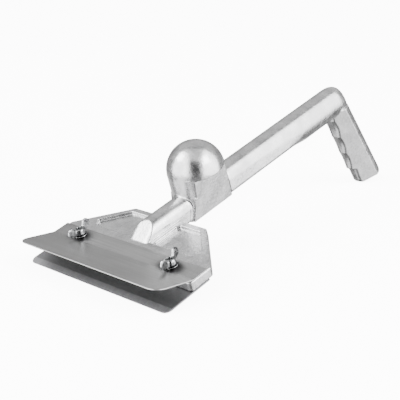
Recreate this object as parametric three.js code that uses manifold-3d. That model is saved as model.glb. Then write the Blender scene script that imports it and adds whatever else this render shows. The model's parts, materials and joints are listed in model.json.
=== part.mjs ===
// Floor layer's two-handed hand tool: a cast aluminium body (flat head, round bar, ball knob on a
// post, pistol grip) with two steel plates clamped to the head by two bolts and wing nuts.
//
// Every piece is drawn in the tool's own frame: X across the tool, Y back along the bar from the
// rear edge of the upper plate, Z square to the head, zero at the upper plate's top face.
// The whole tool is then tilted into the pose it rests in on a table, on the lower plate's front
// edge and the toe of the grip, with the origin at the bottom centre of its bounding box.
import * as THREE from 'three';
import { mergeVertices } from 'three/addons/utils/BufferGeometryUtils.js';
import Module from 'manifold-3d';

const wasm = await Module();
wasm.setup();

// ---- Driving dimensions, in millimetres and degrees -------------------------------------------

const GAP = 0.3; // air between neighbouring solids
const ROUND = 48; // facets around a full circle

const REST_TILT = 15.25; // rise of the bar when the tool rests on a table

const UPPER_PLATE = {
  width: 200, thickness: 1.2, bendY: -18.4, frontY: -60.6, bendAngle: 20.2, cornerRadius: 12,
};
const LOWER_PLATE = {
  width: 198.4, thickness: 1.5, frontY: -56.3, cornerRadius: 7, bevel: 7.5, edgeThickness: 0.6,
};

const HEAD = {
  top: -UPPER_PLATE.thickness - GAP, bottom: -11.1, halfWidth: 99.5, frontY: -23.5,
  shoulderY: 4.5, rearY: 52, rearHalfWidth: 50.3, shoulderRadius: 7, rearRadius: 3,
};
const POCKET = {
  depth: 3, innerX: 18.7, frontY: 11, rearY: 45, rearOuterX: 48.5, outerX: 73.5, outerY: 19.5,
  cornerRadius: 3,
};

const BAR = { radius: 15.7, axisZ: -3.2, keelHalfWidth: 14.6, keelBottom: -12.6 };
const HANDLE = { radius: 17.3, keelHalfWidth: 16, keelBottom: -13.6, keelEndY: 225, topDown: -8.2 };
const NOSE = { frontY: 6, chamferTopY: 25.6 };

const POST = {
  y: 100, halfWidthTop: 20, halfWidthBottom: 16.7, frontY: 52.4, rearY: 130,
  webFrontY: 67.5, webTopY: 76, webTopZ: 10,
};
const BALL = { radius: 29.7, z: 28.7 };

const GRIP = {
  lean: 20.2, rearY: 334.3, rearZ: 6.4, topZ: -12.3, elbowRadius: 13.5,
  frontDepth: 30.2, frontHalfWidth: 3.5, flare: 0.085, grooveDepth: 1.5, groovePitch: 25,
  grooveStart: 20, grooves: 3, stepDown: 102, stepDepth: 5, toeDepth: 36.2, toeDown: 125,
  toeRadius: 6, heelDown: 132.5, heelRadius: 9,
};

const BOLT = {
  x: 65, y: -11.3, radius: 2.5, headRadius: 6.5, headHeight: 2.6, neckHalf: 2.5, end: 6.3,
};
const WASHER = { radius: 6.5, thickness: 1 };
const WING_NUT = {
  hubRadius: 6, hubTopRadius: 4.8, hubHeight: 6.5, halfSpan: 15.5, height: 11.5, lobeRadius: 3.9,
  thickness: 2, leftTurn: 8, rightTurn: 15,
};

const LOWER_PLATE_TOP = HEAD.bottom - GAP;
const LOWER_PLATE_BOTTOM = LOWER_PLATE_TOP - LOWER_PLATE.thickness;

// ---- Solids and booleans ----------------------------------------------------------------------

// A closed three.js geometry as a solid: shared corners merged, collapsed triangles dropped.
function solid(geometry) {
  const bare = geometry.clone();
  bare.deleteAttribute('normal');
  bare.deleteAttribute('uv');
  const merged = mergeVertices(bare, 1e-4);
  const corners = merged.index.array;
  const triangles = [];
  for (let i = 0; i < corners.length; i += 3) {
    const [a, b, c] = [corners[i], corners[i + 1], corners[i + 2]];
    if (a !== b && b !== c && c !== a) triangles.push(a, b, c);
  }
  return new wasm.Manifold(new wasm.Mesh({
    numProp: 3,
    vertProperties: merged.attributes.position.array,
    triVerts: new Uint32Array(triangles),
  }));
}

function named(name, body, material) {
  const mesh = body.getMesh();
  const geometry = new THREE.BufferGeometry();
  geometry.setAttribute('position', new THREE.BufferAttribute(mesh.vertProperties, 3));
  geometry.setIndex(new THREE.BufferAttribute(mesh.triVerts, 1));
  geometry.computeVertexNormals();
  const piece = new THREE.Mesh(geometry, material);
  piece.name = name;
  return piece;
}

const up = new THREE.Vector3(0, 0, 1);
const back = new THREE.Vector3(0, 1, 0);
const right = new THREE.Vector3(1, 0, 0);

function extruded(shape, depth) {
  return new THREE.ExtrudeGeometry(shape, { depth, bevelEnabled: false, curveSegments: 12 });
}

// A plan outline (x, y) raised from one height to another.
function plan(shape, bottomZ, topZ) {
  return solid(extruded(shape, topZ - bottomZ).translate(0, 0, bottomZ));
}

// A side outline (y, z) as wide as the given width, centred on x = 0.
function side(shape, width) {
  const turned = new THREE.Matrix4().makeBasis(back, up, right);
  return solid(extruded(shape, width).applyMatrix4(turned).translate(-width / 2, 0, 0));
}

// A cross-section (x, z) running back from one place along the bar to another.
function along(shape, fromY, toY) {
  const turned = new THREE.Matrix4().makeBasis(right, up, new THREE.Vector3(0, -1, 0));
  return solid(extruded(shape, toY - fromY).applyMatrix4(turned).translate(0, toY, 0));
}

// A disc or tapered disc standing on a height.
function disc(radius, bottomZ, topZ, topRadius = radius, facets = ROUND) {
  const geometry = new THREE.CylinderGeometry(topRadius, radius, topZ - bottomZ, facets);
  return solid(geometry.rotateX(Math.PI / 2).translate(0, 0, (bottomZ + topZ) / 2));
}

// A closed outline through corner points, each [x, y] or [x, y, radius] to round it.
function outline(points) {
  const shape = new THREE.Shape();
  points.forEach((corner, i) => {
    const before = points[(i + points.length - 1) % points.length];
    const after = points[(i + 1) % points.length];
    const at = new THREE.Vector2(corner[0], corner[1]);
    const toBefore = new THREE.Vector2(before[0], before[1]).sub(at).normalize();
    const toAfter = new THREE.Vector2(after[0], after[1]).sub(at).normalize();
    const halfAngle = Math.acos(toBefore.dot(toAfter)) / 2;
    const reach = (corner[2] ?? 0) / Math.tan(halfAngle);
    const start = at.clone().addScaledVector(toBefore, reach);
    const end = at.clone().addScaledVector(toAfter, reach);
    if (i === 0) shape.moveTo(start.x, start.y);
    else shape.lineTo(start.x, start.y);
    if (reach > 0) shape.quadraticCurveTo(at.x, at.y, end.x, end.y);
  });
  shape.closePath();
  return shape;
}

const mirrored = (points) => points.map(([x, y, radius]) => [-x, y, radius]).reverse();

function moved(body, x, y, z) {
  return body.translate([x, y, z]);
}

// ---- Materials --------------------------------------------------------------------------------

const metal = (color, roughness) => new THREE.MeshStandardMaterial({ color, roughness, metalness: 1 });
const castMaterial = () => metal(0xc9cacb, 0.4);
const upperPlateMaterial = () => metal(0x9b9c9d, 0.38);
const lowerPlateMaterial = () => metal(0x77787a, 0.4);
const zincMaterial = () => metal(0xc4c6c9, 0.25);

// ---- The cast body: one casting, drawn as six plain solids ------------------------------------

// Flared plate with a shallow pocket each side of the bar and the two bolt holes.
function headPlate() {
  const halfOutline = [
    [HEAD.halfWidth, HEAD.frontY, 1],
    [HEAD.halfWidth, HEAD.shoulderY, HEAD.shoulderRadius],
    [HEAD.rearHalfWidth, HEAD.rearY, HEAD.rearRadius],
  ];
  let body = plan(outline([...halfOutline, ...mirrored(halfOutline)]), HEAD.bottom, HEAD.top);
  const round = POCKET.cornerRadius;
  const pocket = [
    [POCKET.innerX, POCKET.frontY, round],
    [POCKET.outerX - 5, POCKET.frontY, round],
    [POCKET.outerX, POCKET.outerY, round],
    [POCKET.rearOuterX, POCKET.rearY, round],
    [POCKET.innerX + 3, POCKET.rearY, round],
    [POCKET.innerX, POCKET.rearY - 3, 0],
  ];
  for (const points of [pocket, mirrored(pocket)]) {
    body = body.subtract(plan(outline(points), HEAD.top - POCKET.depth, 1));
  }
  for (const x of [-BOLT.x, BOLT.x]) {
    const hole = disc(BOLT.radius + GAP, HEAD.bottom - 1, HEAD.top + 1);
    body = body.subtract(moved(hole, x, BOLT.y, 0));
  }
  return body;
}

// The bar's section: a round top on straight sides with a flat underside.
function barSection(bottomZ, { radius, keelHalfWidth } = BAR) {
  const shape = new THREE.Shape();
  const meet = Math.acos(keelHalfWidth / radius);
  shape.moveTo(-keelHalfWidth, bottomZ);
  shape.lineTo(keelHalfWidth, bottomZ);
  shape.absarc(0, BAR.axisZ, radius, meet, Math.PI - meet, false);
  shape.closePath();
  return shape;
}

// Front end of the bar, lying on the head, cut off by a slope.
function barNose() {
  const bottomZ = HEAD.top + GAP;
  const topZ = BAR.axisZ + BAR.radius;
  const body = along(barSection(bottomZ), NOSE.frontY, POST.frontY - GAP);
  const slope = outline([
    [NOSE.frontY - 1, bottomZ - 1],
    [NOSE.frontY, bottomZ - 0.01],
    [NOSE.chamferTopY, topZ],
    [NOSE.chamferTopY, topZ + 5],
    [NOSE.frontY - 1, topZ + 5],
  ]);
  return body.subtract(side(slope, 60));
}

// Stretch of bar under the knob and the round post on it, its sides planed off with a draft.
function knobPost() {
  const topZ = BALL.z - GAP;
  const flats = outline([
    [-POST.halfWidthBottom, BAR.keelBottom],
    [POST.halfWidthBottom, BAR.keelBottom],
    [POST.halfWidthTop, topZ],
    [-POST.halfWidthTop, topZ],
  ]);
  const post = moved(disc(BALL.radius, BAR.keelBottom, topZ), 0, POST.y, 0)
    .intersect(along(flats, POST.y - 40, POST.y + 40));
  const web = outline([
    [POST.webFrontY, BAR.keelBottom],
    [POST.webTopY, POST.webTopZ],
    [POST.y, POST.webTopZ],
    [POST.y, BAR.keelBottom],
  ]);
  return along(barSection(BAR.keelBottom), POST.frontY, POST.rearY)
    .add(side(web, 2 * POST.halfWidthBottom))
    .add(post);
}

// Upper half of the ball, turned about the post's axis.
function ballKnob() {
  const profile = [new THREE.Vector2(0, 0)];
  for (let i = 0; i <= ROUND / 4; i += 1) {
    const angle = (i / (ROUND / 4)) * (Math.PI / 2);
    profile.push(new THREE.Vector2(BALL.radius * Math.cos(angle), BALL.radius * Math.sin(angle)));
  }
  profile[profile.length - 1].x = 0;
  const dome = solid(new THREE.LatheGeometry(profile, ROUND).rotateX(Math.PI / 2));
  return moved(dome, 0, POST.y, BALL.z);
}

const lean = THREE.MathUtils.degToRad(GRIP.lean);

// Place (y, z) of a point of the grip, from its distance ahead of the back line and down it.
function gripPoint(ahead, down, radius) {
  const y = GRIP.rearY - ahead * Math.cos(lean) + down * Math.sin(lean);
  const z = GRIP.rearZ - ahead * Math.sin(lean) - down * Math.cos(lean);
  return [y, z, radius];
}

// Everything ahead of a half-round back on the grip's back line: as deep as asked, with the given
// half width at the front.
function halfRoundBack(radius, depth, frontHalfWidth) {
  const shape = new THREE.Shape();
  shape.moveTo(-frontHalfWidth, -depth);
  shape.lineTo(frontHalfWidth, -depth);
  shape.lineTo(radius, -radius);
  shape.absarc(0, -radius, radius, 0, Math.PI, false);
  shape.closePath();
  const forward = new THREE.Vector3(0, Math.cos(lean), Math.sin(lean));
  const upGrip = new THREE.Vector3(0, -Math.sin(lean), Math.cos(lean));
  const turned = new THREE.Matrix4().makeBasis(right, forward, upGrip);
  const [y, z] = gripPoint(0, 150);
  return solid(extruded(shape, 300).applyMatrix4(turned).translate(0, y, z));
}

// The bar behind the post: a little thicker, flat-sided at first, then round, and rounded off above
// the grip.
function handleBar() {
  const { radius, keelBottom, keelEndY, topDown } = HANDLE;
  const startY = POST.rearY + GAP;
  const endY = GRIP.rearY + 12;
  const rod = new THREE.CylinderGeometry(radius, radius, endY - startY, ROUND);
  const round = moved(solid(rod), 0, (startY + endY) / 2, BAR.axisZ);
  const frontPart = outline([
    [startY - 1, keelBottom],
    [keelEndY, keelBottom],
    [keelEndY + 35, BAR.axisZ - radius - 1],
    gripPoint(0, 30),
    gripPoint(0, topDown, GRIP.elbowRadius),
    [startY - 1, gripPoint(0, topDown)[1]],
  ]);
  const keel = along(barSection(keelBottom, HANDLE), startY, keelEndY);
  return round.intersect(side(frontPart, 60)).add(keel)
    .intersect(halfRoundBack(radius, 280, radius));
}

// Pistol grip: half-round back, sides narrowing to the front, finger grooves and a step on the
// front, and a flat foot.
function pistolGrip() {
  const waves = [];
  const steps = 6 * GRIP.grooves;
  for (let i = 0; i <= steps; i += 1) {
    const passed = (i / steps) * GRIP.grooves;
    const down = GRIP.grooveStart + passed * GRIP.groovePitch;
    const groove = GRIP.grooveDepth * Math.abs(Math.sin(Math.PI * passed));
    waves.push(gripPoint(GRIP.frontDepth + GRIP.flare * down - groove, down));
  }
  const deepest = GRIP.frontDepth + GRIP.flare * GRIP.stepDown;
  const profile = outline([
    gripPoint(0, -8),
    gripPoint(GRIP.frontDepth, -8),
    ...waves,
    gripPoint(deepest - GRIP.stepDepth, GRIP.stepDown, 2),
    gripPoint(GRIP.toeDepth, GRIP.toeDown, GRIP.toeRadius),
    gripPoint(0, GRIP.heelDown, GRIP.heelRadius),
  ].reverse());
  const saddle = new THREE.CylinderGeometry(HANDLE.radius + GAP, HANDLE.radius + GAP, 200, ROUND);
  const above = outline([[200, GRIP.topZ], [420, GRIP.topZ], [420, 60], [200, 60]]);
  return side(profile, 2 * BAR.radius)
    .intersect(halfRoundBack(BAR.radius, deepest, GRIP.frontHalfWidth))
    .subtract(moved(solid(saddle), 0, GRIP.rearY, BAR.axisZ))
    .subtract(side(above, 60));
}

// ---- The steel plates -------------------------------------------------------------------------

// Outline of a plate from its front edge to y = 0, with its two front corners rounded.
function plateOutline(width, frontY, radius) {
  const halfOutline = [[width / 2, frontY, radius], [width / 2, 0, 0]];
  return outline([...halfOutline, ...mirrored(halfOutline)]);
}

function boltSquare(x, half) {
  return outline([[x - half, BOLT.y - half], [x + half, BOLT.y - half],
    [x + half, BOLT.y + half], [x - half, BOLT.y + half]]);
}

// Upper plate: flat behind, its front part bent up.
function upperPlate() {
  const { thickness, bendY, frontY, bendAngle, width, cornerRadius } = UPPER_PLATE;
  const rise = Math.tan(THREE.MathUtils.degToRad(bendAngle));
  const frontZ = (bendY - frontY) * rise;
  const fold = side(outline([
    [0, 0],
    [bendY, 0, 3],
    [frontY - 1, frontZ + rise],
    [frontY - 1, frontZ + rise - thickness],
    [bendY, -thickness, 3],
    [0, -thickness],
  ]), width + 2);
  let body = fold.intersect(plan(plateOutline(width, frontY, cornerRadius), -5, 40));
  for (const x of [-BOLT.x, BOLT.x]) {
    body = body.subtract(moved(disc(BOLT.radius + GAP, -5, 5), x, BOLT.y, 0));
  }
  return body;
}

// Lower plate: flat, with a bevel ground along its front edge and square holes for the bolts.
function lowerPlate() {
  const { width, frontY, cornerRadius, bevel, edgeThickness } = LOWER_PLATE;
  const section = side(outline([
    [0, LOWER_PLATE_BOTTOM],
    [0, LOWER_PLATE_TOP],
    [frontY + bevel, LOWER_PLATE_TOP],
    [frontY, LOWER_PLATE_BOTTOM + edgeThickness],
    [frontY, LOWER_PLATE_BOTTOM],
  ]), width + 2);
  let body = section.intersect(plan(plateOutline(width, frontY, cornerRadius), -30, 0));
  for (const x of [-BOLT.x, BOLT.x]) {
    body = body.subtract(plan(boltSquare(x, BOLT.neckHalf + GAP), -30, 0));
  }
  return body;
}

// ---- Fasteners --------------------------------------------------------------------------------

// Carriage bolt: low domed head under the lower plate, square neck in the plate, round shank.
function carriageBolt(x) {
  const headTop = LOWER_PLATE_BOTTOM - GAP;
  const profile = [new THREE.Vector2(0, -BOLT.headHeight)];
  for (let i = 1; i <= 6; i += 1) {
    const angle = (i / 6) * (Math.PI / 2);
    const z = -BOLT.headHeight + (BOLT.headHeight - 0.5) * (1 - Math.cos(angle));
    profile.push(new THREE.Vector2(BOLT.headRadius * Math.sin(angle), z));
  }
  profile.push(new THREE.Vector2(BOLT.headRadius, 0), new THREE.Vector2(0, 0));
  const head = solid(new THREE.LatheGeometry(profile, ROUND / 2).rotateX(Math.PI / 2));
  const neck = plan(boltSquare(0, BOLT.neckHalf), headTop - 0.1, LOWER_PLATE_TOP);
  const shank = moved(disc(BOLT.radius, headTop - 0.1, BOLT.end, BOLT.radius, 24), 0, BOLT.y, 0);
  const body = neck.add(shank).add(moved(head, 0, BOLT.y, headTop));
  return moved(body, x, 0, 0);
}

function washer(x) {
  const ring = disc(WASHER.radius, GAP, GAP + WASHER.thickness, WASHER.radius, 32)
    .subtract(disc(BOLT.radius + GAP, -1, 5, BOLT.radius + GAP, 24));
  return moved(ring, x, BOLT.y, 0);
}

// Wing nut: tapered hub with two flat wings rising from it along the local Y axis.
function wingNut(x, turn) {
  const bottomZ = 2 * GAP + WASHER.thickness;
  const { halfSpan, height, lobeRadius, hubHeight, hubRadius } = WING_NUT;
  const lobeY = halfSpan - lobeRadius;
  const halfWing = [
    [hubRadius - 2, 0.8],
    [hubRadius + 2, 0.8],
    [halfSpan, height - 2.4 * lobeRadius, lobeRadius],
    [halfSpan, height, lobeRadius],
    [lobeY - 0.8 * lobeRadius, height, lobeRadius * 0.8],
    [hubRadius - 2, hubHeight - 0.6],
  ];
  const wings = side(outline([...halfWing, ...mirrored(halfWing)]), WING_NUT.thickness);
  const body = disc(hubRadius, 0, hubHeight, WING_NUT.hubTopRadius, 32)
    .add(wings)
    .subtract(disc(BOLT.radius + GAP, -1, height + 1, BOLT.radius + GAP, 24));
  return moved(body.rotate([0, 0, turn]), x, BOLT.y, bottomZ);
}

// ---- Assembly ---------------------------------------------------------------------------------

const tool = new THREE.Group();
tool.add(
  named('cast_head_plate', headPlate(), castMaterial()),
  named('cast_bar_nose', barNose(), castMaterial()),
  named('cast_knob_post', knobPost(), castMaterial()),
  named('cast_ball_knob', ballKnob(), castMaterial()),
  named('cast_handle_bar', handleBar(), castMaterial()),
  named('cast_pistol_grip', pistolGrip(), castMaterial()),
  named('upper_plate', upperPlate(), upperPlateMaterial()),
  named('lower_plate', lowerPlate(), lowerPlateMaterial()),
);
for (const [hand, x, turn] of [
  ['left', -BOLT.x, WING_NUT.leftTurn],
  ['right', BOLT.x, WING_NUT.rightTurn],
]) {
  tool.add(
    named(`bolt_${hand}`, carriageBolt(x), zincMaterial()),
    named(`washer_${hand}`, washer(x), zincMaterial()),
    named(`wing_nut_${hand}`, wingNut(x, turn), zincMaterial()),
  );
}
tool.rotation.x = THREE.MathUtils.degToRad(REST_TILT);

const resting = new THREE.Group();
resting.add(tool);
resting.updateMatrixWorld(true);
const bounds = new THREE.Box3().setFromObject(tool, true);
tool.position.set(0, -(bounds.min.y + bounds.max.y) / 2, -bounds.min.z);

export default resting;
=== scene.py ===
"""Looks of a floor layer's two-handed tool: a cast aluminium body, two steel plates, wing nuts.

Shapes are modelled in millimetres in the tool's own frame: X across the tool, Y back along the
bar from the rear edge of the upper plate, Z square to the head, zero at the upper plate's top.
Rounded and cast pieces are signed distance fields (negative inside), meshed through OpenVDB.
"""

import json
import math

import bmesh
import bpy
import numpy as np
import openvdb
from mathutils import Matrix, Vector


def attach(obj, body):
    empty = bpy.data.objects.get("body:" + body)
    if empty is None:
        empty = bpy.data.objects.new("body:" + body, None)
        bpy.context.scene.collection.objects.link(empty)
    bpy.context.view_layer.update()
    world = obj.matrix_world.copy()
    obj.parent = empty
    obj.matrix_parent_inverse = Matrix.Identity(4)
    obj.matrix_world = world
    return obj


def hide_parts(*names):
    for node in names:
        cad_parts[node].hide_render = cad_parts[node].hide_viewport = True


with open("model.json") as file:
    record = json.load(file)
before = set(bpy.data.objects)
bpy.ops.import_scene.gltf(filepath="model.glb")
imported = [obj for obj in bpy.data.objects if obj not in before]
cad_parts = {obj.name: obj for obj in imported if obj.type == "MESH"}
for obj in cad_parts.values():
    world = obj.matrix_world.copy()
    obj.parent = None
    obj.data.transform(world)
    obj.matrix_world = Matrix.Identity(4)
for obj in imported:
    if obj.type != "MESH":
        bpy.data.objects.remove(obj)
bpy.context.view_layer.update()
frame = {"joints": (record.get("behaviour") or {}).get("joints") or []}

MM = 0.001

# ---- Driving dimensions, in millimetres and degrees, as in the CAD -----------------------------

UPPER = dict(width=200, thickness=1.2, bend_y=-18.4, front_y=-60.6, angle=20.2, corner=12,
             bend_radius=6)
LOWER = dict(width=198.4, thickness=1.5, front_y=-56.3, corner=7, bevel=7.5, edge=0.6)
HEAD_TOP, HEAD_BOTTOM = -1.5, -11.1
HEAD_OUTLINE = [(99.5, -23.5), (99.5, 4.5), (50.3, 52)]
HEAD_CORNER = 5
POCKET_OUTLINE = [(18.7, 11), (68.5, 11), (73.5, 19.5), (48.5, 45), (21.7, 45), (18.7, 42)]
POCKET_DEPTH, POCKET_CORNER, POCKET_DRAFT = 3, 2.5, 0.12
BAR_R, BAR_Z = 15.7, -3.2
KEEL_HALF, KEEL_Z = 14.6, -12.6
HANDLE_R, HANDLE_KEEL_HALF, HANDLE_KEEL_Z = 17.3, 16, -13.6
HEAD_TO_KEEL = (45, 58)  # stretches of y over which the bar changes its section
BAR_TO_HANDLE = (121, 131)
KEEL_SPREAD, KEEL_SPREADS = 1.3, (150, 235)
KEEL_TO_ROUND = (215, 262)
NOSE_Y, NOSE_TOP_Y = 6, 25.6
POST_Y, BALL_R, BALL_Z = 100, 29.7, 28.7
POST_HALF_BOTTOM, POST_HALF_TOP = 16.7, 20
WEB_SIDE = [(67.5, -12.6), (100, -12.6), (100, 10), (76, 10)]
GRIP_LEAN, GRIP_Y, GRIP_Z, GRIP_TOP = 20.2, 334.3, 6.4, -12.3
GRIP_DEPTH, GRIP_FLARE, GRIP_FRONT_HALF = 30.8, 0.085, 3.5
GROOVE_START, GROOVE_PITCH, GROOVE_DEPTH, GROOVES = 20, 25, 1.5, 3
GROOVE_FADE = (-10, 15)
STEP_DOWN, STEP_DEPTH, STEP_HALF = 99, 5, 3
TOE_DEPTH, TOE_DOWN, HEEL_DOWN = 36.2, 125, 132.5
BOLT_X, BOLT_Y, BOLT_R, BOLT_END, PITCH = 65, -11.3, 2.5, 6.3, 0.8
BOLT_HEAD_R, BOLT_HEAD_H, BOLT_NECK = 6.5, 2.6, 2.5
WASHER_R, WASHER_T = 6.5, 1.0
HUB_R, HUB_TOP_R, HUB_H = 6, 4.8, 6.5
WING_SPAN, WING_H, WING_T = 15.5, 11.5, 2
LOBE_R, LOBE_REACH = 6.6, 6.2
LOBE_UNDER_R, LOBE_UNDER_Z = 3.6, 5.4
WING_TURN = {"left": 8, "right": 15}
GAP = 0.3

# How softly the casting's surfaces meet, in millimetres: its own edges, then its parts' joins.
EDGE = dict(head=1.2, pocket_floor=0.6, pocket_rim=1, bar_side=0.6, keel=2.5, nose=1.2, elbow=10,
            post_flat=0.6, rim=0.8, grip_front=3.5, toe=6, heel=13, foot=2)
JOIN = dict(bar=0.9, web=3, post=2.5, ball=0.5, grip=0.7)

LOWER_TOP = HEAD_BOTTOM - GAP
LOWER_BOTTOM = LOWER_TOP - LOWER["thickness"]


def tool_frame():
    """Where the tool's own frame stands in the model, from the right bolt's screw joint."""
    joint = next(j for j in frame["joints"] if j["name"] == "wing_nut_right_turn")
    axis = Vector(joint["axis"])
    turn = Matrix.Rotation(math.atan2(-axis.y, axis.z), 4, "X")
    on_axis = Vector((BOLT_X, BOLT_Y, GAP)) * MM
    return Matrix.Translation(Vector(joint["pos_m"]) - turn @ on_axis) @ turn @ Matrix.Scale(MM, 4)


TOOL = tool_frame()


# ---- Signed distance fields --------------------------------------------------------------------

def smooth_min(a, b, k):
    """The lower of two distances, blended over k millimetres: a filleted union."""
    h = np.maximum(k - np.abs(a - b), 0) / k
    return np.minimum(a, b) - h * h * k / 4


def smooth_max(a, b, k):
    return -smooth_min(-a, -b, k)


def smooth_step(value, low, high):
    t = np.clip((value - low) / (high - low), 0, 1)
    return t * t * (3 - 2 * t)


def polygon(points, u, v):
    """Distance in the (u, v) plane to a closed outline."""
    nearest = np.full(np.broadcast(u, v).shape, 1e12)
    sign = np.ones(nearest.shape)
    for (au, av), (bu, bv) in zip(points, points[1:] + points[:1]):
        eu, ev = bu - au, bv - av
        wu, wv = u - au, v - av
        t = np.clip((wu * eu + wv * ev) / (eu * eu + ev * ev), 0, 1)
        nearest = np.minimum(nearest, (wu - eu * t) ** 2 + (wv - ev * t) ** 2)
        above, below, left = v >= av, v < bv, eu * wv > ev * wu
        crossed = (above & below & left) | ~(above | below | left)
        sign = np.where(crossed, -sign, sign)
    return sign * np.sqrt(nearest)


def rounded(points, radius, u, v):
    """Distance to an anticlockwise outline whose corners are rounded."""
    inner = []
    count = len(points)
    for i, (cu, cv) in enumerate(points):
        before, after = points[i - 1], points[(i + 1) % count]
        a = Vector((cu - before[0], cv - before[1])).normalized()
        b = Vector((after[0] - cu, after[1] - cv)).normalized()
        normal_a, normal_b = Vector((-a.y, a.x)), Vector((-b.y, b.x))
        shift = (normal_a + normal_b) * radius / (1 + normal_a.dot(normal_b))
        inner.append((cu + shift.x, cv + shift.y))
    return polygon(inner, u, v) - radius


def mirrored(points):
    """The outline's other half, across u = 0, in the order that goes on around."""
    return [(-u, v) for u, v in reversed(points)]


def slab(outline_distance, z, low, high, edge):
    """An outline raised from one height to another, its rims rounded."""
    return smooth_max(outline_distance, np.abs(z - (low + high) / 2) - (high - low) / 2, edge)


# ---- The casting -------------------------------------------------------------------------------

def head(x, y, z):
    outline = rounded(HEAD_OUTLINE + mirrored(HEAD_OUTLINE), HEAD_CORNER, x, y)
    body = slab(outline, z, HEAD_BOTTOM, HEAD_TOP, EDGE["head"])
    floor_z = HEAD_TOP - POCKET_DEPTH
    wall = rounded(POCKET_OUTLINE, POCKET_CORNER, np.abs(x), y) - POCKET_DRAFT * (z - floor_z)
    pocket = smooth_max(wall, floor_z - z, EDGE["pocket_floor"])
    body = smooth_max(body, -pocket, EDGE["pocket_rim"])
    hole = np.hypot(np.abs(x) - BOLT_X, y - BOLT_Y) - BOLT_R - GAP
    return np.maximum(body, -hole)


def grip_coordinates(y, z):
    """How far a point lies ahead of the grip's back line, and down along it."""
    lean = math.radians(GRIP_LEAN)
    dy, dz = y - GRIP_Y, z - GRIP_Z
    return (-dy * math.cos(lean) - dz * math.sin(lean), dy * math.sin(lean) - dz * math.cos(lean))


def half_round_back(x, ahead, radius, taper):
    """Half-round back, and sides that narrow towards the front by the taper."""
    side = (np.abs(x) - radius + (ahead - radius) * taper) / math.hypot(1, taper)
    return np.where(ahead < radius, np.hypot(x, ahead - radius) - radius, side)


def bar(x, y, z):
    """Round on top and flat-sided below, thicker behind the post, and round all over at its end."""
    behind = smooth_step(y, *BAR_TO_HANDLE)
    radius = BAR_R + (HANDLE_R - BAR_R) * behind
    half = KEEL_HALF + (HANDLE_KEEL_HALF - KEEL_HALF) * behind
    round_bar = np.hypot(x, z - BAR_Z) - radius
    arch = np.where(z > BAR_Z, round_bar, np.abs(x) - radius)
    side = np.abs(x) - half - KEEL_SPREAD * smooth_step(y, *KEEL_SPREADS)
    keel = smooth_max(arch, side, EDGE["bar_side"])
    bottom = HEAD_BOTTOM + (KEEL_Z - HEAD_BOTTOM) * smooth_step(y, *HEAD_TO_KEEL)
    bottom = bottom + (HANDLE_KEEL_Z - KEEL_Z) * behind
    keel = smooth_max(keel, bottom - z, EDGE["keel"])
    late = smooth_step(y, *KEEL_TO_ROUND)
    body = keel * (1 - late) + round_bar * late

    run, rise = NOSE_TOP_Y - NOSE_Y, BAR_Z + BAR_R - HEAD_TOP
    slope = ((z - HEAD_TOP) * run - (y - NOSE_Y) * rise) / math.hypot(run, rise)
    body = smooth_max(body, slope, EDGE["nose"])

    ahead, _ = grip_coordinates(y, z)
    return smooth_max(body, half_round_back(x, ahead, HANDLE_R, 0), EDGE["elbow"])


def post(x, y, z):
    body = smooth_min(np.hypot(x, y - POST_Y) - BALL_R, polygon(WEB_SIDE, y, z), JOIN["web"])
    draft = (POST_HALF_TOP - POST_HALF_BOTTOM) / (BALL_Z - KEEL_Z)
    flat = np.abs(x) - POST_HALF_BOTTOM - draft * (z - KEEL_Z)
    body = smooth_max(body, flat, EDGE["post_flat"])
    inside_ball = BALL_Z + 2
    return slab(body, z, KEEL_Z, inside_ball, EDGE["rim"])


def ball(x, y, z):
    sphere = np.sqrt(x * x + (y - POST_Y) ** 2 + (z - BALL_Z) ** 2) - BALL_R
    return smooth_max(sphere, BALL_Z - z, EDGE["rim"])


def grip(x, y, z):
    ahead, down = grip_coordinates(y, z)
    deepest = GRIP_DEPTH + GRIP_FLARE * STEP_DOWN
    taper = (BAR_R - GRIP_FRONT_HALF) / (deepest - BAR_R)
    section = half_round_back(x, ahead, BAR_R, taper)

    along = (down - GROOVE_START) / GROOVE_PITCH
    groove = GROOVE_DEPTH * np.abs(np.sin(np.pi * along)) * ((along > -1) & (along < GROOVES))
    groove = groove * smooth_step(down, *GROOVE_FADE)
    step = STEP_DEPTH * smooth_step(down, STEP_DOWN - STEP_HALF, STEP_DOWN + STEP_HALF)
    front = GRIP_DEPTH + GRIP_FLARE * down - groove - step
    body = smooth_max(section, ahead - front, EDGE["grip_front"])

    rise = (HEEL_DOWN - TOE_DOWN) / TOE_DEPTH
    foot = (down - HEEL_DOWN + rise * ahead) / math.hypot(1, rise)
    toe = smooth_max(ahead - front, foot, EDGE["toe"])
    heel = smooth_max(-ahead, foot, EDGE["heel"])
    body = smooth_max(body, np.maximum(toe, heel), EDGE["foot"])
    return smooth_max(body, z - GRIP_TOP, EDGE["rim"])


def casting(x, y, z):
    body = smooth_min(head(x, y, z), bar(x, y, z), JOIN["bar"])
    body = smooth_min(body, post(x, y, z), JOIN["post"])
    body = smooth_min(body, ball(x, y, z), JOIN["ball"])
    return smooth_min(body, grip(x, y, z), JOIN["grip"])


# ---- Fasteners, upright on their own axis, z as in the tool's frame ------------------------------

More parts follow.
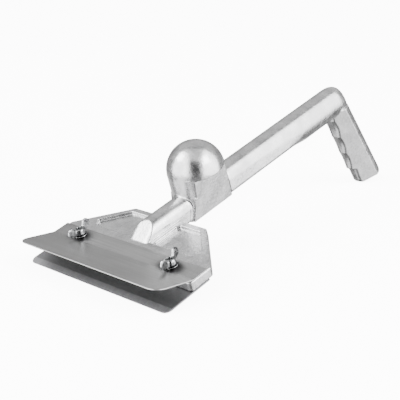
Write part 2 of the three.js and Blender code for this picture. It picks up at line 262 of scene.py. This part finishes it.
def carriage_bolt(x, y, z):
    radius = np.hypot(x, y)
    under = LOWER_BOTTOM - GAP
    dome_r = (BOLT_HEAD_R ** 2 + BOLT_HEAD_H ** 2) / (2 * BOLT_HEAD_H)
    dome = np.sqrt(radius ** 2 + (z - under - dome_r + BOLT_HEAD_H) ** 2) - dome_r
    body = smooth_max(smooth_max(dome, radius - BOLT_HEAD_R + 0.3, 0.6), z - under, 0.3)
    neck = np.maximum(np.abs(x), np.abs(y)) - BOLT_NECK
    body = np.minimum(body, slab(neck, z, under - 0.5, LOWER_TOP, 0.4))
    wave = np.abs(((z / PITCH - np.arctan2(y, x) / (2 * np.pi)) % 1) * 2 - 1)
    shank = radius - BOLT_R + 0.32 * (1 - wave)
    shank = smooth_max(shank, (radius + z - BOLT_END - BOLT_R + 0.7) * 0.7, 0.2)
    return np.minimum(body, slab(shank, z, under - 0.5, BOLT_END, 0.2))


def washer_ring(x, y, z):
    radius = np.hypot(x, y)
    ring = np.maximum(radius - WASHER_R, BOLT_R + GAP - radius)
    return slab(ring, z, GAP, GAP + WASHER_T, 0.4)


def round_corner(outline, past_u, past_v, radius):
    """Rounds the corner of an outline that lies where both reaches are positive."""
    return np.where((past_u > 0) & (past_v > 0),
                    np.maximum(outline, np.hypot(past_u, past_v) - radius), outline)


def wing_nut(x, y, z, turn):
    """Tapered hub with two rounded wings along the local Y axis, turned about Z."""
    angle = math.radians(turn)
    across = x * math.cos(angle) + y * math.sin(angle)
    out = np.abs(y * math.cos(angle) - x * math.sin(angle))
    up = z - 2 * GAP - WASHER_T
    radius = np.hypot(x, y)
    hub = radius - HUB_R + (HUB_R - HUB_TOP_R) * up / HUB_H
    hub = slab(hub, up, 0, HUB_H, 2.2)
    side = [(1, 0.9), (HUB_R + 1.5, 0.9), (WING_SPAN, 2.4), (WING_SPAN, WING_H),
            (WING_SPAN - 7.4, WING_H), (HUB_R - 1.5, HUB_H - 0.9), (1, HUB_H - 0.9)]
    outline = rounded(side, 0.6, out, up)
    outline = round_corner(outline, out - WING_SPAN + LOBE_REACH, up - WING_H + LOBE_REACH, LOBE_R)
    outline = round_corner(outline, out - WING_SPAN + LOBE_UNDER_R, LOBE_UNDER_Z - up, LOBE_UNDER_R)
    thickness = WING_T / 2 + 0.35 * smooth_step(out, WING_SPAN, HUB_R)
    wing = smooth_max(outline, np.abs(across) - thickness, 0.9)
    body = smooth_min(hub, wing, 1.6)
    return smooth_max(body, BOLT_R + 0.2 - radius, 0.4)


# ---- Meshing -----------------------------------------------------------------------------------

BLOCK = 24  # samples along a block's edge
SLACK = 1.3  # how far a smoothed field may be from a true distance


def field_grid(field, low, high, voxel):
    """An OpenVDB grid of the field, sampled only in the blocks that its surface crosses."""
    band = 3 * voxel
    grid = openvdb.FloatGrid(band)
    first = np.floor(np.array(low) / voxel / BLOCK).astype(int)
    last = np.ceil(np.array(high) / voxel / BLOCK).astype(int)
    half = BLOCK * voxel / 2
    reach = half * math.sqrt(3) * SLACK + band
    for block in np.ndindex(*(last - first)):
        start = (first + block) * BLOCK
        centre = [np.array([[[s * voxel + half]]]) for s in start]
        at_centre = float(np.asarray(field(*centre)).reshape(-1)[0])
        if abs(at_centre) > reach:
            if at_centre < 0:
                end = start + BLOCK - 1
                grid.fill(tuple(map(int, start)), tuple(map(int, end)), -band, False)
            continue
        x, y, z = (
            ((s + np.arange(BLOCK)) * voxel).reshape([-1 if axis == i else 1 for i in range(3)])
            for axis, s in enumerate(start)
        )
        values = np.clip(np.broadcast_to(field(x, y, z), (BLOCK,) * 3), -band, band)
        grid.copyFromArray(np.ascontiguousarray(values, dtype=np.float32),
                           ijk=tuple(map(int, start)))
    return grid


def normals_at(field, points, step):
    x, y, z = points.T
    slopes = [
        field(x + dx, y + dy, z + dz) - field(x - dx, y - dy, z - dz)
        for dx, dy, dz in np.eye(3) * step
    ]
    normal = np.stack(slopes, axis=1)
    return normal / np.maximum(np.linalg.norm(normal, axis=1, keepdims=True), 1e-9)


def piece_from_field(name, field, low, high, voxel, place=TOOL):
    """A mesh piece of a field in millimetres, shaded with the field's own normals."""
    grid = field_grid(field, low, high, voxel)
    points, triangles, quads = grid.convertToPolygons(isovalue=0.0, adaptivity=0.0)
    points = points.astype(float) * voxel
    normal = normals_at(field, points, voxel * 0.3)
    points = points - normal * field(*points.T)[:, None] * 0.9
    mesh = bpy.data.meshes.new(name)
    faces = [tuple(face) for face in triangles.tolist() + quads.tolist()]
    world = points @ np.array(place.to_3x3()).T + np.array(place.translation)
    mesh.from_pydata(world.tolist(), [], faces)
    mesh.validate()
    mesh.shade_smooth()
    turned = normals_at(field, points, voxel * 0.45) @ np.array(place.to_3x3().normalized()).T
    mesh.normals_split_custom_set_from_vertices(turned.tolist())
    return add_object(name, mesh)


def add_object(name, mesh):
    piece = bpy.data.objects.new(name, mesh)
    bpy.context.scene.collection.objects.link(piece)
    return piece


# ---- The steel plates --------------------------------------------------------------------------

def front_stations(half, front_y, corner, steps=10):
    """(y, half width) from the front edge back through the rounded corner."""
    angles = [math.pi / 2 * i / steps for i in range(steps + 1)]
    return [(front_y + corner * (1 - math.cos(a)), half - corner * (1 - math.sin(a)))
            for a in angles]


def plate(name, stations, top_z, bottom_z, edge):
    """A plate lofted over its stations, with broken edges and the two bolt holes."""
    shape = bmesh.new()
    rings = []
    for y, half in stations:
        columns = [-half, -half / 2, 0, half / 2, half]
        top = [shape.verts.new((x, *top_z(y))) for x in columns]
        bottom = [shape.verts.new((x, *bottom_z(y))) for x in reversed(columns)]
        rings.append(top + bottom)
    for near, far in zip(rings, rings[1:]):
        for i in range(len(near)):
            j = (i + 1) % len(near)
            shape.faces.new((near[i], near[j], far[j], far[i]))
    for ring, backwards in ((rings[0], True), (rings[-1], False)):
        last = len(ring) - 1
        for i in range(len(ring) // 2 - 1):
            face = [ring[i], ring[i + 1], ring[last - 1 - i], ring[last - i]]
            shape.faces.new(face[::-1] if backwards else face)
    bmesh.ops.recalc_face_normals(shape, faces=shape.faces)
    rims = [e for e in shape.edges if e.calc_face_angle(0) > math.radians(50)]
    bmesh.ops.bevel(shape, geom=rims, offset=edge, segments=2, profile=0.5, affect="EDGES")
    shape.transform(TOOL)
    mesh = bpy.data.meshes.new(name)
    shape.to_mesh(mesh)
    shape.free()
    piece = add_object(name, mesh)
    for x in (-BOLT_X, BOLT_X):
        drill(piece, x, BOLT_R + GAP)
    return piece


def drill(piece, x, radius):
    """Cuts one bolt hole through a piece."""
    bit = bmesh.new()
    bmesh.ops.create_cone(bit, cap_ends=True, segments=40, radius1=radius, radius2=radius,
                          depth=20, matrix=Matrix.Translation((x, BOLT_Y, -6)))
    bit.transform(TOOL)
    mesh = bpy.data.meshes.new("drill")
    bit.to_mesh(mesh)
    bit.free()
    tool = add_object("drill", mesh)
    cut = piece.modifiers.new("hole", "BOOLEAN")
    cut.operation, cut.solver, cut.object = "DIFFERENCE", "EXACT", tool
    depsgraph = bpy.context.evaluated_depsgraph_get()
    drilled = bpy.data.meshes.new_from_object(piece.evaluated_get(depsgraph))
    piece.modifiers.clear()
    piece.data = drilled
    bpy.data.objects.remove(tool)


def shade_by_angle(piece, degrees=28):
    piece.data.shade_smooth()
    piece.data.set_sharp_from_angle(angle=math.radians(degrees))


def upper_plate():
    """Flat behind, its front part bent up on an easy radius."""
    bend_y, front_y, radius = UPPER["bend_y"], UPPER["front_y"], UPPER["bend_radius"]
    full = math.radians(UPPER["angle"])
    start = bend_y + radius * math.tan(full / 2)

    def folded(y, depth):
        """Place (y, z) of a point of the flat blank, this deep under its top face."""
        run = start - y
        angle = min(max(run / radius, 0), full)
        arc_y = start - radius * math.sin(angle) if run > 0 else y
        arc_z = radius * (1 - math.cos(angle))
        rest = max(run - radius * full, 0)
        return (arc_y - rest * math.cos(full) - depth * math.sin(angle),
                arc_z + rest * math.sin(full) - depth * math.cos(angle))

    half = UPPER["width"] / 2
    bend_front = start - radius * full
    raised = (bend_y - radius * math.tan(full / 2) - front_y) / math.cos(full)
    stations = front_stations(half, bend_front - raised, UPPER["corner"])
    stations += [(y, half) for y in np.linspace(stations[-1][0], bend_front, 5)[1:]]
    stations += [(start - radius * full * i / 8, half) for i in range(7, -1, -1)]
    stations += [(y, half) for y in (BOLT_Y, 0)]
    piece = plate("upper_plate_sheet", stations, lambda y: folded(y, 0),
                  lambda y: folded(y, UPPER["thickness"]), 0.3)
    shade_by_angle(piece)
    return piece


def lower_plate():
    """Flat, with a bevel ground along its front edge."""
    half, front_y = LOWER["width"] / 2, LOWER["front_y"]
    bevel_y = front_y + LOWER["bevel"]

    def top(y):
        drop = LOWER["thickness"] - LOWER["edge"]
        return y, LOWER_TOP - drop * max(bevel_y - y, 0) / LOWER["bevel"]

    stations = front_stations(half, front_y, LOWER["corner"])
    stations += [(y, half) for y in (bevel_y, -36, -20, BOLT_Y, 0)]
    piece = plate("lower_plate_sheet", stations, top, lambda y: (y, LOWER_BOTTOM), 0.18)
    shade_by_angle(piece, 5)
    return piece


# ---- Materials ---------------------------------------------------------------------------------

class Nodes:
    """Short hands for building one material's node tree."""

    def __init__(self, name):
        self.material = bpy.data.materials.new(name)
        self.material.use_nodes = True
        self.tree = self.material.node_tree
        self.shader = self.tree.nodes["Principled BSDF"]
        self.place = self.tree.nodes.new("ShaderNodeTexCoord").outputs["Object"]

    def link(self, source, target):
        self.tree.links.new(source, target)

    def scaled(self, scale):
        """Object coordinates turned square to the tool and stretched, in 1/metre."""
        mapping = self.tree.nodes.new("ShaderNodeMapping")
        mapping.vector_type = "TEXTURE"
        mapping.inputs["Rotation"].default_value = TOOL.to_euler()
        mapping.inputs["Scale"].default_value = [1 / s for s in scale]
        self.link(self.place, mapping.inputs["Vector"])
        return mapping.outputs["Vector"]

    def noise(self, scale, detail=3, roughness=0.5):
        node = self.tree.nodes.new("ShaderNodeTexNoise")
        node.inputs["Scale"].default_value = 1
        node.inputs["Detail"].default_value = detail
        node.inputs["Roughness"].default_value = roughness
        self.link(self.scaled(scale), node.inputs["Vector"])
        return node.outputs["Fac"]

    def ramp(self, source, stops):
        node = self.tree.nodes.new("ShaderNodeValToRGB")
        elements = node.color_ramp.elements
        for i, (position, value) in enumerate(stops):
            element = elements[i] if i < 2 else elements.new(position)
            element.position = position
            grey = value if isinstance(value, tuple) else (value,) * 3
            element.color = (*grey, 1)
        self.link(source, node.inputs["Fac"])
        return node.outputs["Color"]

    def mixed(self, a, b, factor, mode="MIX"):
        node = self.tree.nodes.new("ShaderNodeMix")
        node.data_type, node.blend_type = "RGBA", mode
        node.inputs["Factor"].default_value = factor
        self.link(a, node.inputs[6])
        self.link(b, node.inputs[7])
        return node.outputs[2]

    def bump(self, height, distance, strength=1.0, under=None):
        node = self.tree.nodes.new("ShaderNodeBump")
        node.inputs["Distance"].default_value = distance
        node.inputs["Strength"].default_value = strength
        self.link(height, node.inputs["Height"])
        if under:
            self.link(under, node.inputs["Normal"])
        return node.outputs["Normal"]


def cast_aluminium():
    """Bright satin casting: mottled, with a fine skin and faint dressing marks."""
    n = Nodes("cast_aluminium")
    blotches = n.noise((60, 60, 60), detail=4, roughness=0.6)
    speckle = n.noise((420, 420, 420), detail=2)
    tone = n.mixed(n.ramp(blotches, [(0.3, (0.40, 0.40, 0.405)), (0.7, (0.60, 0.60, 0.605))]),
                   n.ramp(speckle, [(0.3, 0.78), (0.7, 1.0)]), 0.8, "MULTIPLY")
    n.link(tone, n.shader.inputs["Base Color"])
    n.link(n.ramp(blotches, [(0.25, 0.20), (0.75, 0.32)]), n.shader.inputs["Roughness"])
    n.shader.inputs["Metallic"].default_value = 1
    coarse = n.bump(n.noise((150, 150, 150), detail=2), 0.0005, 0.30)
    n.link(n.bump(speckle, 0.0003, 0.38, coarse), n.shader.inputs["Normal"])
    return n.material


def rolled_steel(name, dark, light, grain, gloss, nut_shade=False):
    """Rolled sheet, its grain running across the tool, and on request painted shade at the nuts."""
    n = Nodes(name)
    streaks = n.noise(grain, detail=4, roughness=0.6)
    clouds = n.noise((18, 18, 18), detail=3)
    tone = n.mixed(n.ramp(streaks, [(0.3, dark), (0.7, light)]),
                   n.ramp(clouds, [(0.3, 0.85), (0.7, 1.0)]), 0.7, "MULTIPLY")
    # painted shade: the nuts' contact shadow and dark reflection, multiplied into the plate's
    # colour
    if nut_shade:
        tone = n.mixed(tone, painted_nut_shade(n), 1.0, "MULTIPLY")
    n.link(tone, n.shader.inputs["Base Color"])
    n.link(n.ramp(streaks, [(0.2, gloss), (0.8, gloss + 0.1)]), n.shader.inputs["Roughness"])
    n.shader.inputs["Metallic"].default_value = 1
    n.link(n.bump(streaks, 0.0001, 0.5), n.shader.inputs["Normal"])
    return n.material


def painted_nut_shade(n):
    """Painted shade of the nuts on the plate: dark around each bolt and a little ahead of it,
    fading out sooner along the tool.
    """
    painted_shade = None
    stretch = Vector((0.62, 1, 1))
    square = TOOL.to_3x3().normalized().transposed()
    for x in (-BOLT_X, BOLT_X):
        away = n.tree.nodes.new("ShaderNodeVectorMath")
        away.operation = "DISTANCE"
        n.link(n.scaled(stretch), away.inputs[0])
        centre = square @ (TOOL @ Vector((x, BOLT_Y - 1.5, 0)))
        away.inputs[1].default_value = centre * stretch
        ring = n.ramp(away.outputs["Value"], [(0.0065, 0.05), (0.0125, 1.0)])
        painted_shade = n.mixed(painted_shade, ring, 1.0, "MULTIPLY") if painted_shade else ring
    return painted_shade


def zinc():
    """Bright zinc plate on small hardware."""
    n = Nodes("zinc_plate")
    clouds = n.noise((350, 350, 350), detail=3)
    n.link(n.ramp(clouds, [(0.38, (0.10, 0.102, 0.105)), (0.62, (0.36, 0.365, 0.37))]),
           n.shader.inputs["Base Color"])
    n.link(n.ramp(clouds, [(0.3, 0.10), (0.7, 0.20)]), n.shader.inputs["Roughness"])
    n.shader.inputs["Metallic"].default_value = 1
    n.link(n.bump(clouds, 0.0001, 0.3), n.shader.inputs["Normal"])
    return n.material


# ---- Building the pieces -----------------------------------------------------------------------

def on_bolt_axis(x):
    return TOOL @ Matrix.Translation((x, BOLT_Y, 0))


def dress(piece, material, body, slot, *nodes):
    piece.data.materials.clear()
    piece.data.materials.append(material)
    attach(piece, body)
    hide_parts(*nodes)


CAST_VOXEL = 0.6
SMALL_VOXEL = 0.2

cast = piece_from_field("cast_body", casting, (-101, -26, -126), (101, 384, 61), CAST_VOXEL)
dress(cast, cast_aluminium(), "tool", "cast_aluminium", "cast_head_plate", "cast_bar_nose",
      "cast_knob_post", "cast_ball_knob", "cast_handle_bar", "cast_pistol_grip")

upper = upper_plate()
# the upper plate carries painted shade around the nuts
upper_steel = rolled_steel("upper_steel", dark=(0.29, 0.29, 0.29), light=(0.38, 0.38, 0.38),
                           grain=(12, 1100, 1100), gloss=0.30, nut_shade=True)
dress(upper, upper_steel, "tool", "upper_steel", "upper_plate")
lower = lower_plate()
# painted shade: the upper plate's rolled steel made darker for the plate that lies in its shadow
lower_steel = rolled_steel("lower_steel", dark=(0.17, 0.17, 0.175), light=(0.21, 0.21, 0.215),
                           grain=(12, 1200, 1200), gloss=0.42)
dress(lower, lower_steel, "tool", "lower_steel", "lower_plate")
ground_steel = rolled_steel("ground_steel", dark=(0.26, 0.26, 0.27), light=(0.33, 0.33, 0.34),
                            grain=(900, 40, 900), gloss=0.4)
lower.data.materials.append(ground_steel)
plate_up = TOOL.to_3x3().normalized().col[2]
for face in lower.data.polygons:
    slopes_gently = 0.9 < face.normal.dot(plate_up) < 0.9985
    if slopes_gently:
        face.material_index = 1

bright_zinc = zinc()
for hand, x in (("left", -BOLT_X), ("right", BOLT_X)):
    place = on_bolt_axis(x)
    low, high = (-17, -17, -17), (17, 17, 15)
    bolt = piece_from_field(f"carriage_bolt_{hand}", carriage_bolt, low, high, SMALL_VOXEL, place)
    dress(bolt, bright_zinc, "tool", "zinc", f"bolt_{hand}")
    ring = piece_from_field(f"flat_washer_{hand}", washer_ring, low, high, SMALL_VOXEL, place)
    dress(ring, bright_zinc, f"washer_{hand}", "zinc", f"washer_{hand}")
    turn = WING_TURN[hand]
    nut = piece_from_field(f"winged_nut_{hand}", lambda x, y, z: wing_nut(x, y, z, turn),
                           low, high, SMALL_VOXEL, place)
    dress(nut, bright_zinc, f"wing_nut_{hand}", "zinc", f"wing_nut_{hand}")


# ---- Camera, floor and light ---------------------------------------------------------------------

CAMERA_AT = Vector((0.6608, -0.7261, 0.3479))
CAMERA_AIM = Vector((-0.0322, -0.0407, 0.0322))
CAMERA_ROLL = -2.46
LENS, SENSOR = 86.8, 36

FRONT_AZIMUTH = -45.3  # turn about Z that brings the studio's open side to -Y
BACKGROUND = 10.1  # the world as the camera sees it, as bright as the floor
FLOOR_GLOW = 9.0
PANEL, GAP_LOW, GAP_HIGH, SEAM = 8.0, 0.10, 1.6, 0.10  # brightness of the studio's parts
UNDER_PANEL, UNDER_GAP = 2.5, 0.4  # and of what stands in for the floor in reflections
SOFT_BOX = dict(size=(0.6, 0.6), power=14)


def aimed(at, aim, roll=0):
    """A pose at a point that looks at another, with its top up."""
    look = (aim - at).to_track_quat("-Z", "Y").to_matrix().to_4x4()
    return Matrix.Translation(at) @ look @ Matrix.Rotation(math.radians(roll), 4, "Z")


def add_camera():
    data = bpy.data.cameras.new("camera")
    data.lens = LENS
    data.sensor_width = SENSOR
    camera = add_object("camera", data)
    camera.matrix_world = aimed(CAMERA_AT, CAMERA_AIM, CAMERA_ROLL)
    bpy.context.scene.camera = camera


def add_floor():
    """A pale floor that glows up to the white of the background and isn't mirrored in the metal."""
    bpy.ops.mesh.primitive_plane_add(size=12, location=(0, 0, -0.0005))
    floor = bpy.context.object
    floor.name = "floor"
    n = Nodes("floor_pale")
    tone = n.ramp(n.noise((3, 3, 3)), [(0.3, 0.90), (0.7, 0.93)])
    n.link(tone, n.shader.inputs["Base Color"])
    n.shader.inputs["Roughness"].default_value = 0.9
    n.shader.inputs["Emission Color"].default_value = (1, 1, 1, 1)
    n.shader.inputs["Emission Strength"].default_value = FLOOR_GLOW
    floor.visible_glossy = False
    floor.data.materials.append(n.material)


def add_light(name, at, aim, size, power):
    data = bpy.data.lights.new(name, "AREA")
    data.shape = "RECTANGLE"
    data.size, data.size_y = size
    data.energy = power
    light = add_object(name, data)
    light.matrix_world = aimed(Vector(at), Vector(aim))


class Studio:
    """The white tent around the tool, painted on the world by direction."""

    def __init__(self):
        world = bpy.data.worlds.new("studio")
        world.use_nodes = True
        bpy.context.scene.world = world
        self.tree = world.node_tree
        self.background = self.tree.nodes["Background"]
        where = self.tree.nodes.new("ShaderNodeTexCoord").outputs["Generated"]
        turned = self.tree.nodes.new("ShaderNodeVectorRotate")
        turned.rotation_type = "Z_AXIS"
        turned.inputs["Angle"].default_value = math.radians(FRONT_AZIMUTH)
        self.tree.links.new(where, turned.inputs["Vector"])
        split = self.tree.nodes.new("ShaderNodeSeparateXYZ")
        self.tree.links.new(turned.outputs["Vector"], split.inputs["Vector"])
        self.side = self.math("ABSOLUTE", split.outputs["X"])
        self.away = split.outputs["Y"]
        self.up = split.outputs["Z"]

    def math(self, operation, a, b=None):
        node = self.tree.nodes.new("ShaderNodeMath")
        node.operation = operation
        for socket, value in zip(node.inputs, (a, b)):
            if isinstance(value, (int, float)):
                socket.default_value = value
            elif value is not None:
                self.tree.links.new(value, socket)
        return node.outputs["Value"]

    def step(self, value, low, high):
        """0 below low, 1 above high, smooth between."""
        node = self.tree.nodes.new("ShaderNodeMapRange")
        node.interpolation_type = "SMOOTHSTEP"
        node.inputs["From Min"].default_value = low
        node.inputs["From Max"].default_value = high
        self.tree.links.new(value, node.inputs["Value"])
        return node.outputs["Result"]

    def blend(self, low, high, factor):
        """From one brightness to another; each is a number or a node's output."""
        node = self.tree.nodes.new("ShaderNodeMix")
        self.tree.links.new(factor, node.inputs["Factor"])
        for socket, value in ((node.inputs["A"], low), (node.inputs["B"], high)):
            if isinstance(value, (int, float)):
                socket.default_value = value
            else:
                self.tree.links.new(value, socket)
        return node.outputs["Result"]


def add_world():
    """White side panels with a dark gap between them, a dark seam, and a grey backdrop behind."""
    studio = Studio()
    above = studio.step(studio.up, -0.34, -0.24)
    gap = studio.blend(GAP_LOW, GAP_HIGH, studio.step(studio.up, 0.62, 0.76))
    panels = studio.blend(gap, PANEL, studio.step(studio.side, 0.37, 0.52))
    low = studio.blend(UNDER_GAP, UNDER_PANEL, studio.step(studio.side, 0.32, 0.44))
    front = studio.blend(low, panels, above)
    seam = studio.blend(front, SEAM, studio.step(studio.away, 0.14, 0.20))
    backdrop = studio.blend(0.55, 1.2, studio.step(studio.up, 0.20, 0.60))
    low_back = studio.blend(0.35, 1.5, studio.step(studio.away, 0.35, 0.80))
    behind = studio.blend(low_back, backdrop, above)
    room = studio.blend(seam, behind, studio.step(studio.away, 0.24, 0.34))
    seen = studio.tree.nodes.new("ShaderNodeLightPath").outputs["Is Camera Ray"]
    plain = studio.blend(room, BACKGROUND, seen)
    studio.tree.links.new(plain, studio.background.inputs["Strength"])
    studio.background.inputs["Color"].default_value = (1, 1, 1, 1)


add_camera()
add_floor()
add_world()
add_light("soft_box_left", (-0.7, -0.8, 0.9), (0, 0, 0.05), **SOFT_BOX)
add_light("soft_box_right", (1.0, 0.1, 0.9), (0, 0, 0.05), **SOFT_BOX)
